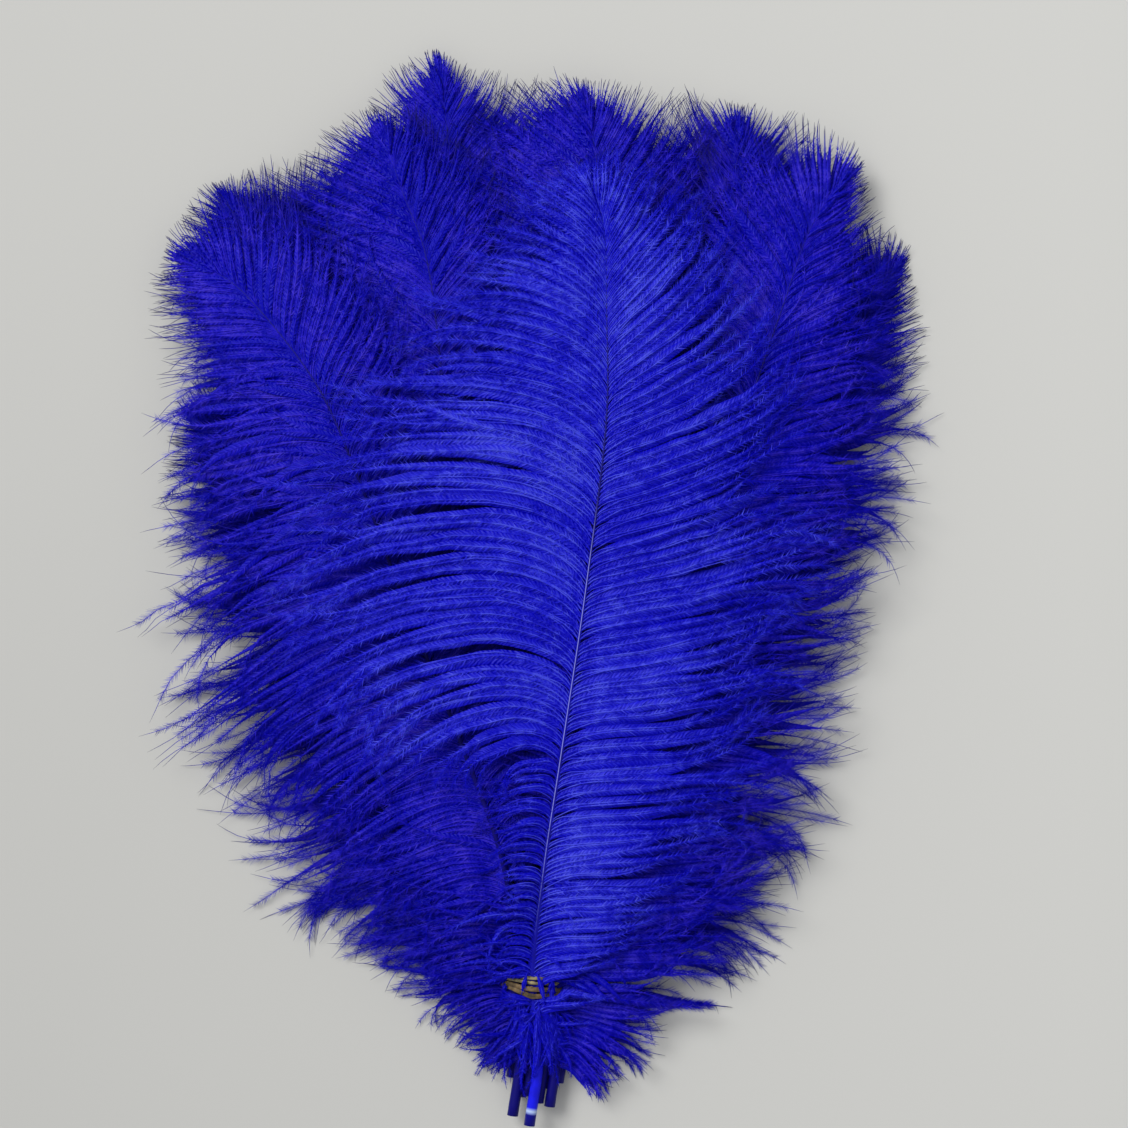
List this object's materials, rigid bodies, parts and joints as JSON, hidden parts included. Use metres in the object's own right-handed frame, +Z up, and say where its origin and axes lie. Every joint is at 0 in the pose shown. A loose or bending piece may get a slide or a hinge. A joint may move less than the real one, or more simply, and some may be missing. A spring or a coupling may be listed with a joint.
{
  "type": "tied bundle of dyed ostrich feathers",
  "caption": "Tied bundle of long dyed ostrich plumes lying flat, fanned out from cut quills held by rubber bands; used as decoration or trim.",
  "frame": {"origin": "middle of the bundle's footprint, on the surface that it lies on", "axes": "+Y from the cut quills to the feather tips, +Z up from the surface, +X to the right seen from above with the tips away"},
  "size_m": [0.3062, 0.3866, 0.0326],
  "materials": {
    "dyed_feather": "matte",
    "pale_rubber": "satin",
    "brown_rubber": "satin"
  },
  "bodies": {
    "root": {"main_feather": "dyed_feather", "second_feather": "dyed_feather", "tall_left_feather": "dyed_feather", "bent_left_feather": "dyed_feather", "left_feather": "dyed_feather", "far_left_feather": "dyed_feather", "low_left_feather": "dyed_feather", "right_feather": "dyed_feather", "upper_right_feather": "dyed_feather", "far_right_feather": "dyed_feather", "upper_rubber_band": "pale_rubber", "lower_rubber_band": "brown_rubber"}
  },
  "joints": []
}
